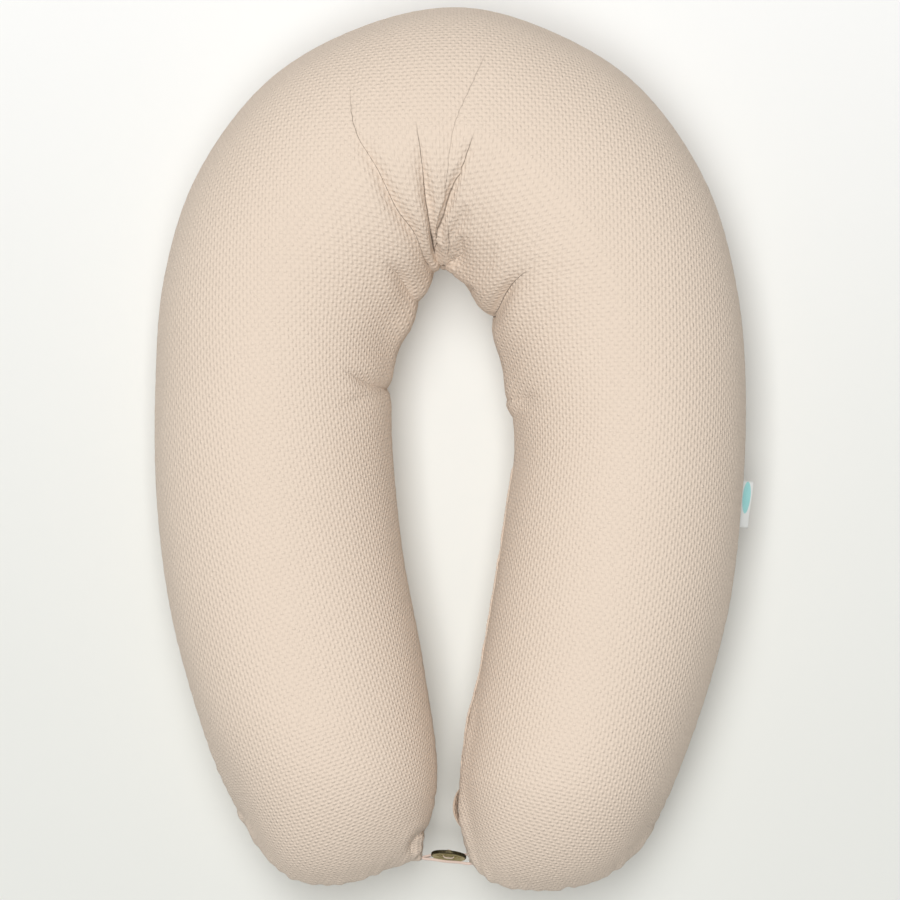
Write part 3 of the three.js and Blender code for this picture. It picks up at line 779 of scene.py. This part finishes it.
def brass_material():
    """Antique brass: olive on the button's face, and painted near black on its rolled rim as shade."""
    shader = Shader("button_metal")
    radius = shader.vectors("LENGTH", shader.uv("button"), {})["Value"]
    place_on = shader.coordinates()
    patches = shader.noise(place_on, 500.0, 6.0, 0.65)
    brushed = shader.noise(place_on, 2200.0)
    face = shader.mix(patches, (0.19, 0.15, 0.055, 1), (0.6, 0.5, 0.25, 1))
    # Painted shade: the colour goes near black on the rim and its side wall, where the button's edge
    # lies in shade, varied a little by the patches.
    at_rim = shader.step(radius, 0.0146, 0.0156)
    rim_painted_shade = shader.math("MULTIPLY", at_rim, shader.times(patches, -0.5, 1.15))
    return shader.finish(shader.mix(rim_painted_shade, face, (0.018, 0.015, 0.009, 1)),
                         shader.times(brushed, 0.2, 0.35), Metallic=0.85,
                         Normal=shader.bump(brushed, 0.00015, 0.5))


# ---- cover
SLOT_HALF = 5.2  # the zip's slot above and below the seam
HEM = 3.0  # how far the slot's edges turn in
CROWN_CUTS = (4.4, 13.5)  # stations where the bending crown meets the two legs
CASING_INSET = 8
FILL_INSET = 10.6
CROWN_INSET = 7  # how much deeper the insides lie under the crown's folds


def open_slot(grid, uv, rows):
    """The panel and its pattern, cut back from the seam along the zip, with the edge turned in."""
    run = (rows - ZIP_STATIONS[0]) * ZIP_LENGTH / (ZIP_STATIONS[1] - ZIP_STATIONS[0])
    opening = smooth((run - 1) / 5) * smooth((ZIP_LENGTH - 1 - run) / 5)
    into_leg = np.array([*ZIP_INWARD, 0.0])
    for row in np.flatnonzero(opening > 0):
        line = grid[row]
        reach = run_of(line[::-1])[::-1]
        cut = SLOT_HALF * opening[row]
        wanted = np.where(reach < 60, cut + reach * (1 - cut / 60), reach)
        order = np.argsort(reach)
        for values in (grid[row], uv[row]):
            for axis in range(values.shape[1]):
                values[:, axis] = np.interp(wanted, reach[order], values[order, axis])
        grid[row, -2] = grid[row, -1] * opening[row] + grid[row, -2] * (1 - opening[row])
        grid[row, -1] += into_leg * HEM * opening[row]
    return grid, uv


def dress(piece, material, slot, body, *nodes):
    """Give a piece its material and its body, and hide the CAD nodes that it stands for; slot is not
    used.
    """
    piece.data.materials.append(material)
    if nodes:
        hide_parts(*nodes)
    if body:
        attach(piece, body)
    return piece


def make_cover(rows, panels):
    """The six cover pieces. Returns the finished panels and the rows of their finer lattice."""
    knit = knit_material()
    fine_rows = np.interp(np.arange(2 * len(rows) - 1) / 2, np.arange(len(rows)), rows)
    fine_angles = np.linspace(0, math.pi, 2 * COLUMNS + 1)
    patterns = {side: pattern_uv(refine(grid), fine_rows, fine_angles) for side, grid in panels.items()}
    panels = {side: soft_creases(grid, side) for side, grid in panels.items()}
    panels = dict(zip(panels, settle(panels["top"], panels["bottom"], rows)))

    left_cut, right_cut = (int(np.argmin(np.abs(fine_rows - cut))) for cut in CROWN_CUTS)
    parts = {"left_leg": (0, left_cut), "crown": (left_cut, right_cut),
             "right_leg": (right_cut, len(fine_rows) - 1)}
    finished = {}
    for side, settled in panels.items():
        settled = refine(settled)
        grid = seam_draw(tuck_creases(settled, side), side, fine_rows)
        grid, uv = open_slot(grid, patterns[side], fine_rows)
        grid[..., 2] = np.maximum(grid[..., 2], LOWEST)
        finished[side] = grid
        normals = outward_of(grid, side)
        for part, (first, last) in parts.items():
            span = slice(first, last + 1)
            faces = grid_faces(last + 1 - first, grid.shape[1], flip=side == "top")
            piece = new_piece(f"cover_{side}_{part}", place(grid[span]), faces)
            set_uv(piece, uv[span])
            piece.data.normals_split_custom_set_from_vertices(normals[span].reshape(-1, 3).tolist())
            if part == "crown":
                mark_fold_shade(piece, settled[span], side)
                dress(piece, knit, "knit", None, f"cover_{side}_left", f"cover_{side}_right")
                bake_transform(piece)
            else:
                half = part.split("_")[0]
                dress(piece, knit, "knit", f"{half}_half", f"cover_{side}_{half}")
    return finished, fine_rows


def make_insides(rows, panels):
    """The ticking and the fibre inside it, as two halves that meet at the crown's middle."""
    middle = int(np.argmin(np.abs(rows - CROWN_STATION)))
    ticking = woven_material("ticking", srgb(246, 243, 236), srgb(226, 221, 210), 0.0006)
    for name, node, slot, inset, material in (
            ("ticking", "casing", "ticking", CASING_INSET, ticking),
            ("fibre", "filling", "filling", FILL_INSET, fibre_material())):
        depth = inset + CROWN_INSET * near_crown(rows, 4.4, 2)[:, None, None]
        inside = {side: grid - outward_of(grid, side) * depth for side, grid in panels.items()}
        for edge in ((slice(None), 0), (slice(None), -1), (0,), (-1,)):
            shared = (inside["top"][edge] + inside["bottom"][edge]) / 2
            inside["top"][edge] = inside["bottom"][edge] = shared
        for half, span in (("left", slice(0, middle)), ("right", slice(middle + 1, len(rows)))):
            top, bottom = (inside[side][span][:, ::2] for side in ("top", "bottom"))
            height, width = top.shape[:2]
            quads = grid_faces(height, width)
            rim = (height - 1 if half == "left" else 0) * width + np.arange(width)
            cap = np.concatenate([rim, (rim + height * width)[::-1]])
            faces = [*quads[:, ::-1], *(quads + height * width), cap]
            points = np.concatenate([top.reshape(-1, 3), bottom.reshape(-1, 3)])
            piece = new_piece(f"{name}_{half}", place(points), faces)
            dress(piece, material, slot, f"{half}_half", f"{node}_{half}")


# ---- zip
def on_zip(run, depth, height):
    """Design millimetres from a run along the zip, a depth into the leg and a height over the seam."""
    run, depth, height = np.broadcast_arrays(run, depth, height)
    flat = ZIP_OPEN_END + np.multiply.outer(run, ZIP_ALONG) + np.multiply.outer(depth, ZIP_INWARD)
    return np.concatenate([flat, SEAM_HEIGHT + height[..., None]], axis=-1)


COIL_START, COIL_PITCH, COIL_STEPS, COIL_WIRE = 8.4, 1.9, 10, 0.25
COIL_MIDDLE, COIL_HALF = (3.9, 1.6), (0.95, 1.15)  # depth and height
PLACKET_HEIGHT, PLACKET_HALF = 9.1, (0.85, 3.7)  # over the seam; half its thickness and width
# The ear is the zip seam's spare end, folded out below the zip's closed end.
EAR = [(9.5, -304), (6.6, -310), (4.9, -318), (5.2, -326), (7.4, -333), (11, -340)]


def coil_half(sign):
    """One helix of nylon wire beside the zip's middle line."""
    turns = (ZIP_LENGTH - 2 * COIL_START) / COIL_PITCH
    turn = np.linspace(0, 2 * math.pi * turns, int(turns * COIL_STEPS))
    run = COIL_START + turn / (2 * math.pi) * COIL_PITCH + (COIL_PITCH / 2 if sign > 0 else 0)
    cos, sin = np.cos(turn), np.sin(turn)
    path = on_zip(run, COIL_MIDDLE[0] + COIL_HALF[0] * cos, sign * (COIL_MIDDLE[1] + COIL_HALF[1] * sin))
    return sweep(path, ellipse(COIL_WIRE, COIL_WIRE, 6), on_zip(0, cos, sign * sin) - on_zip(0, 0, 0))


def riding(name, points, faces, material, slot, body, *nodes):
    """A new piece of design-millimetre points on a body."""
    return dress(new_piece(name, place(points), faces), material, slot, body, *nodes)


def make_zip(panel, fine_rows):
    tape = woven_material("zip_tape", srgb(228, 210, 192), srgb(196, 176, 156), 0.0005)
    metal, coil = plated_material(), coil_material()
    thread = thread_material("stitching", srgb(236, 220, 204), srgb(204, 184, 164))
    for node, material in (("zip_tape_upper", tape), ("zip_tape_lower", tape), ("zip_slider", metal),
                           ("zip_pull", metal), ("zip_closed_stop_upper", coil),
                           ("zip_closed_stop_lower", coil), ("zip_open_stop", coil)):
        for place_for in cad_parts[node].material_slots:
            place_for.material = material
    for side, sign in (("upper", 1), ("lower", -1)):
        riding(f"zip_coil_{side}", *coil_half(sign), coil, "zip_coil", "right_half", f"zip_teeth_{side}")

    run = np.linspace(0, ZIP_LENGTH, 190)
    out = 0.8 + 0.85 * table_at(ZIP_FULLNESS, run) + 0.5 * wavy(run, 27, 21)
    path = on_zip(run, 0.45 - out, PLACKET_HEIGHT)
    turn = np.linspace(0, 2 * math.pi, 16, endpoint=False)
    blunt = np.sign(np.sin(turn)) * np.abs(np.sin(turn)) ** 0.6
    section = np.stack([np.cos(turn), blunt], axis=1) * PLACKET_HALF
    ends = np.clip(np.minimum(run, ZIP_LENGTH - run) / 9, 0.05, 1) ** 0.5
    points, faces = sweep(path, section, (0, 0, 1), ends)
    knit = bpy.data.materials["waffle_knit"]
    placket = riding("placket_fold", points, faces, knit, "knit", "right_half", "zip_placket")
    set_uv(placket, sweep_uv(path, section))

    sewn = on_zip(run[4:-4], -0.5 - out[4:-4], PLACKET_HEIGHT + 2.1)
    riding("placket_stitches", *stitch_row(sewn, (0, 0, 1)), thread, "thread", "right_half")
    in_zip = (fine_rows > ZIP_STATIONS[0] + 0.05) & (fine_rows < ZIP_STATIONS[1] - 0.05)
    hem = panel[in_zip, -4] + 0.25 * outward_of(panel, "bottom")[in_zip, -4]
    riding("hem_stitches", *stitch_row(hem, (0, 0, 1)), thread, "thread", "right_half")

    share = np.linspace(0, len(EAR) - 1, 22)
    ear_path = np.column_stack([curve_at(EAR, share), SEAM_HEIGHT + 3 - 2 * share / share[-1]])
    thin = np.sin(math.pi * np.linspace(0, 1, len(share))) ** 0.5
    ear_section = np.stack([1.3 * np.cos(turn) + 1.9 * np.sin(turn), 4.8 * np.sin(turn)], axis=1)
    points, faces = sweep(ear_path, ear_section, (0, 0, 1), np.maximum(thin, 0.2))
    # The ear gets a darker copy of the knit: painted shade, as the folded ear lies in shadow.
    shaded_knit = knit_material("knit_painted_shade", KNIT_DARK, srgb(170, 148, 126))
    ear = riding("seam_ear", points, faces, shaded_knit, "knit", "right_half")
    set_uv(ear, sweep_uv(ear_path, ear_section))


# ---- closure
END_SEAM_Z = SEAM_HEIGHT - END_SEAM_DROP
BUTTON_MIDDLE = (-1.2, -366.2, END_SEAM_Z)
BUTTON_LEAN, BUTTON_YAW = math.radians(72), math.radians(-6)
BUTTON_RADIUS, BUTTON_FACE, BUTTON_RIM = 16, 1.8, 2.4
HOLE_RADIUS, HOLE_SPACING = 2.2, 4.7
CORD = [(-35, -366, 1), (-27.3, -368.6, -1), (-22, -368, -4), (-16, -366.2, -7), (-9, -364, -8),
        (-4.5, -362.6, -6.5), (-1.8, -361.7, -3.6), (-0.7, -361.4, -1.8)]
CORD_WIDTHS = [1.0, 1.0, 0.9, 0.8, 0.7, 0.6, 0.6, 0.6]
LOOP = [(24, -373, 0), (16.1, -373.4, -0.5), (8, -372.4, -2), (-4, -371.5, -2), (-15, -369.7, -0.5),
        (-23.5, -368.7, 0.6), (-26, -367.6, 0.6), (-23, -366.9, -0.8), (-18, -365.9, -2.4),
        (-11, -364.1, -3.8), (-1, -363.3, -4.8), (6, -363.9, -3.2), (13, -365, 0.5), (23, -365, 2)]
LOOP_WIDTHS = [1.0, 1.0, 1.0, 1.0, 1.0, 0.9, 0.7, 0.6, 0.6, 0.6, 0.6, 0.6, 0.7, 0.8]


def on_button(points):
    """Design millimetres from the button's own frame, whose Z is its axis."""
    turn = Matrix.Rotation(BUTTON_YAW, 3, "Z") @ Matrix.Rotation(BUTTON_LEAN, 3, "X")
    return np.asarray(points, float) @ np.array(turn).T + BUTTON_MIDDLE


def lathe(outline, sides):
    """A solid turned from (radius, height) pairs, shut by a fan of triangles at each end."""
    turn = np.linspace(0, 2 * math.pi, sides, endpoint=False)
    rings = [(r * math.cos(a), r * math.sin(a), z) for r, z in outline for a in turn]
    points = [(0, 0, outline[0][1])] + rings + [(0, 0, outline[-1][1])]
    faces = []
    for k in range(sides):
        after = (k + 1) % sides
        faces.append((0, 1 + after, 1 + k))
        for low in range(1, len(rings) - sides, sides):
            faces.append((low + k, low + after, low + sides + after, low + sides + k))
        last = 1 + len(rings) - sides
        faces.append((last + k, last + after, len(points) - 1))
    return points, faces


def make_button():
    """A cast coat button: rolled rim, shallow dish with a raised ring, and two holes."""
    inside = BUTTON_RADIUS - BUTTON_RIM
    outline = [(0.5, -BUTTON_FACE), (13.5, -BUTTON_FACE), (15.2, -1.6), (15.85, -1.0),
               (BUTTON_RADIUS, 0), (15.85, 1.0), (15.4, 1.55), (14.9, 1.8), (14.2, 1.75), (inside, 1.4),
               (inside - 0.5, 0.95), (inside - 1.2, 0.75), (9.6, 0.7), (9.2, 0.95), (8.7, 0.95),
               (8.3, 0.7), (0.5, 0.7)]
    points, faces = lathe(outline, 72)
    disc = new_piece("button_disc", points, faces)
    bars = [new_piece("hole_bar", *lathe([(HOLE_RADIUS, -4), (HOLE_RADIUS, 4)], 28)) for _ in range(2)]
    for sign, bar in zip((-1, 1), bars):
        bar.location.x = sign * HOLE_SPACING
        hole = disc.modifiers.new("hole", "BOOLEAN")
        hole.object = bar
        hole.operation = "DIFFERENCE"
    bevel = disc.modifiers.new("bevel", "BEVEL")
    bevel.width, bevel.segments, bevel.limit_method = 0.25, 3, "ANGLE"
    shaped = shaped_mesh(disc)
    for spare in (disc, *bars):
        bpy.data.objects.remove(spare)
    local = np.array([v.co for v in shaped.vertices])
    shaped.vertices.foreach_set("co", place(on_button(local)).astype(np.float32).ravel())
    shaped.polygons.foreach_set("use_smooth", [True] * len(shaped.polygons))
    piece = new_object("coat_button", shaped)
    for layer in list(shaped.uv_layers):
        shaped.uv_layers.remove(layer)
    set_uv(piece, local[:, :2] * MM, "button")
    shaped.materials.clear()
    dress(piece, brass_material(), "button_metal", "button", "button")


def make_closure():
    strand = ellipse(0.42, 0.42, 8)
    up, axis = (on_button(way) - BUTTON_MIDDLE for way in ((0, 1, 0), (0, 0, 1)))
    strands = []
    for offset in (-1.0, -0.35, 0.35, 1.0):
        over = [(-HOLE_SPACING, offset, -2.4), (-HOLE_SPACING, offset, 0.4), (-3.6, offset, 1.9),
                (0, offset * 1.1, 2.25), (3.6, offset, 1.9), (HOLE_SPACING, offset, 0.4),
                (HOLE_SPACING, offset, -2.4)]
        under = [(-HOLE_SPACING, offset, -2.2), (-2, offset * 0.6, -2.9), (2, offset * 0.6, -2.9),
                 (HOLE_SPACING, offset, -2.2)]
        for route, steps in ((over, 40), (under, 20)):
            line = curve_at(route, np.linspace(0, len(route) - 1, steps))
            strands.append(sweep(on_button(line), strand, up))
    turn = np.linspace(0, 2 * math.pi * 4, 100)
    wound = np.stack([1.3 * np.cos(turn), 1.3 * np.sin(turn), -3.2 - turn / turn[-1] * 2.0], axis=1)
    strands.append(sweep(on_button(wound), strand, axis))
    riding("sewn_strands", *joined(strands), bpy.data.materials["stitching"], "thread", "button",
           "button_thread")

    band = thread_material("band", srgb(234, 214, 202), srgb(206, 182, 168))
    for name, node, body, route, widths, steps in (
            ("cord_band", "button_cord", "left_half", CORD, CORD_WIDTHS, 50),
            ("loop_band", "button_loop", "right_half", LOOP, LOOP_WIDTHS, 90)):
        where = np.linspace(0, len(route) - 1, steps)
        line = curve_at(route, where) + (0, 0, END_SEAM_Z)
        scale = np.interp(where, range(len(route)), widths)
        riding(name, *sweep(line, ellipse(1.3, 1.0, 12), (0, 0, 1), scale), band, "band", body, node)


# ---- labels
LABEL = {"width": 42.0, "reach": 15.4, "root": -1.5, "gap": 0.36, "droop": 47, "station": 14.58,
         "thickness": 0.3}


def make_side_label():
    """A woven tape folded double and sewn into the outer seam, drooping from it."""
    root, ahead, behind = curve_at(OUTER_SEAM, LABEL["station"] + np.array([0, 0.05, -0.05]))
    tangent = unit(behind - ahead)
    outward = np.array([tangent[1], -tangent[0]])
    droop, gap = math.radians(LABEL["droop"]), LABEL["gap"]

    fold = np.linspace(-math.pi / 2, math.pi / 2, 9)[1:-1]
    tip = LABEL["reach"] - gap
    face = np.linspace(LABEL["root"], tip, 14)
    reach = np.concatenate([face, tip + gap * np.cos(fold), face[::-1]])
    lift = np.concatenate([0 * face + gap, -gap * np.sin(fold), 0 * face - gap])
    across = np.linspace(-LABEL["width"] / 2, LABEL["width"] / 2, 25)
    share = np.clip(reach / LABEL["reach"], 0, 1)[:, None]
    ripple = lift[:, None] + share**2 * (0.7 * np.sin(across / 9) - 0.6)
    out = reach[:, None] * math.cos(droop) + ripple * math.sin(droop)
    height = SEAM_HEIGHT - reach[:, None] * math.sin(droop) + ripple * math.cos(droop)
    points = np.dstack([root + out[..., None] * outward + across[:, None] * tangent, height])
    piece = new_piece("folded_label", place(points), grid_faces(*points.shape[:2]))
    run = run_of(np.stack([reach, lift], axis=1)) * MM
    uv = np.stack(np.meshgrid(run, (across + LABEL["width"] / 2) * MM, indexing="ij"), axis=-1)
    set_uv(piece, uv, "label")
    thicken(piece)
    dress(piece, label_material(), "label", "right_half", "side_label")


def thicken(piece):
    """Give a label its thickness, half of it on each side."""
    solid = piece.modifiers.new("thickness", "SOLIDIFY")
    solid.thickness, solid.offset = LABEL["thickness"] * MM, 0
    made = shaped_mesh(piece)
    piece.modifiers.clear()
    piece.data = made


CARE_LABEL = {"stations": (14.0, 14.3), "angles": (142, 160), "inset": 4.7}


def make_care_label():
    """A satin care label lying against the inside of the cover, below the zip's open end."""
    rows = np.linspace(*CARE_LABEL["stations"], 14)
    angles = np.radians(np.linspace(*CARE_LABEL["angles"], 12))
    grid = skin_grid(rows, angles, "bottom")
    grid = grid - outward_of(grid, "bottom") * CARE_LABEL["inset"]
    piece = new_piece("care_sheet", place(grid), grid_faces(*grid.shape[:2]))
    thicken(piece)
    satin = woven_material("care_label", srgb(250, 250, 248), srgb(232, 232, 228), 0.0004)
    dress(piece, satin, "label", "right_half", "care_label")


# ---- stage, camera and light
def make_camera():
    camera = bpy.data.cameras.new("camera")
    camera.sensor_width = 36
    camera.lens = camera.sensor_width * CAMERA_DISTANCE / PICTURE_WIDTH
    camera.clip_end = 50
    holder = new_object("camera", camera)
    holder.location = place((0, 0, SEAM_HEIGHT)) + (0, 0, CAMERA_DISTANCE)
    bpy.context.scene.camera = holder


def make_stage():
    """A pale floor, painted a little brighter towards the crown as a pool of light, and faintly lit
    through by a glow that lightens its shadows.
    """
    floor = new_piece("floor", [(-4, -4, 0), (4, -4, 0), (4, 4, 0), (-4, 4, 0)], [(0, 1, 2, 3)])
    shader = Shader("floor")
    place_on = shader.coordinates()
    # Painted light: the colour brightens towards +Y, the crown's side, as a pool of light; the noise is
    # the floor's own uneven tone.
    far = shader.times(shader.split(place_on)["Y"], 1 / 0.9, 0.5)
    far = shader.math("POWER", shader.math("MAXIMUM", far, 0.0), 1.8)
    uneven = shader.times(shader.noise(place_on, 3.0), 0.1, far)
    colour = shader.mix(uneven, srgb(215, 216, 211), srgb(234, 234, 232))
    # Painted light: the floor glows faintly with its own colour, which lightens the shadows on it.
    pale = shader.finish(colour, 0.85, Emission_Color=colour, Emission_Strength=0.09)
    floor.data.materials.append(pale)


def make_light():
    """A soft box that faces the middle of the floor, longer along the legs, and a faint even light."""
    light = bpy.data.lights.new("overhead", "AREA")
    light.shape = "RECTANGLE"
    light.size, light.size_y = 2.8, 6.0
    light.energy = 392
    holder = new_object("overhead", light)
    x, y, height = holder.location = (-0.5, 0.45, 6.0)
    holder.rotation_euler = (-math.atan2(y, height), math.atan2(x, height), 0)

    world = bpy.data.worlds.new("studio")
    world.use_nodes = True
    world.node_tree.nodes["Background"].inputs["Color"].default_value = (1, 1, 1, 1)
    world.node_tree.nodes["Background"].inputs["Strength"].default_value = 0.17
    bpy.context.scene.world = world
    bpy.context.scene.view_settings.view_transform = "Standard"


make_camera()
make_stage()
make_light()
lattice_rows = skin_rows()
lattice_angles = np.linspace(0, math.pi, COLUMNS + 1)
skin = {side: skin_grid(lattice_rows, lattice_angles, side) for side in ("top", "bottom")}
cover_panels, cover_rows = make_cover(lattice_rows, skin)
make_insides(lattice_rows, skin)
make_zip(cover_panels["bottom"], cover_rows)
make_button()
make_closure()
make_side_label()
make_care_label()
